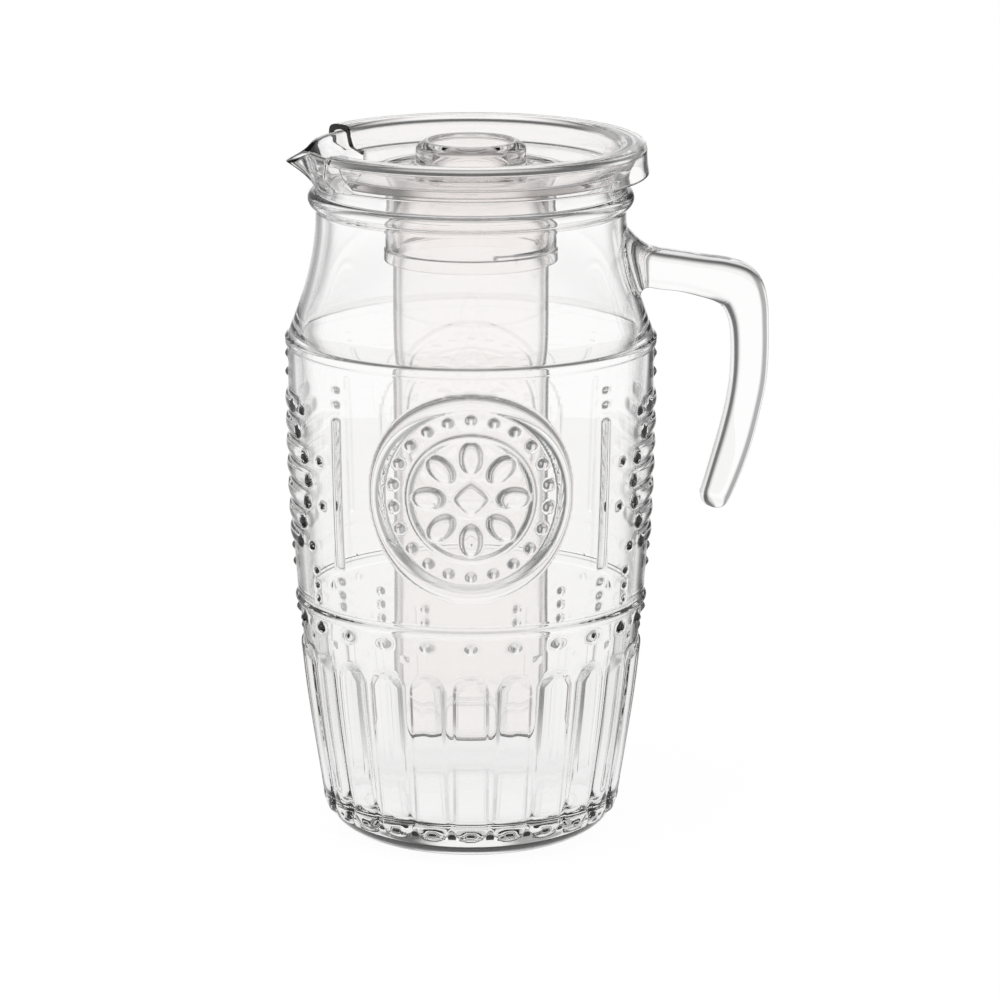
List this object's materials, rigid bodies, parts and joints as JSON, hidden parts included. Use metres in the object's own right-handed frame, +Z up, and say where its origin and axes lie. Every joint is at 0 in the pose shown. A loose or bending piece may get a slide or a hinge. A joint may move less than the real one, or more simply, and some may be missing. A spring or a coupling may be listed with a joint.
{
  "type": "carafe with ice tube",
  "caption": "Pressed glass water jug with fluted foot, rosette medallions, hooked handle, lift-off clear lid and a hanging ice tube that keeps melt water out of the drink.",
  "frame": {"origin": "centre of the flat base, on the jug's axis", "axes": "+Z up along the jug's axis, -X towards the spout, +X towards the handle, -Y towards the front medallion"},
  "size_m": [0.1767, 0.1364, 0.2578],
  "materials": {
    "pressed_glass": "clear pressed soda-lime glass, fire-polished",
    "clear_plastic": "clear injection-moulded plastic, faint warm tint",
    "silicone": "clear silicone, satin"
  },
  "bodies": {
    "jug": {"jug_body": "pressed_glass", "handle": "pressed_glass"},
    "lid": {"lid": "clear_plastic", "tube_seal": "silicone"},
    "tube": {"ice_tube": "clear_plastic"}
  },
  "joints": [
    {"name": "lid_lift", "type": "slide", "parent": "jug", "child": "lid", "axis": [0, 0, 1], "range_m": [0, 0.22]},
    {"name": "tube_turn", "type": "hinge", "parent": "lid", "child": "tube", "pos_m": [0, 0, 0.215], "axis": [0, 0, -1], "range_deg": [0, 90]}
  ]
}
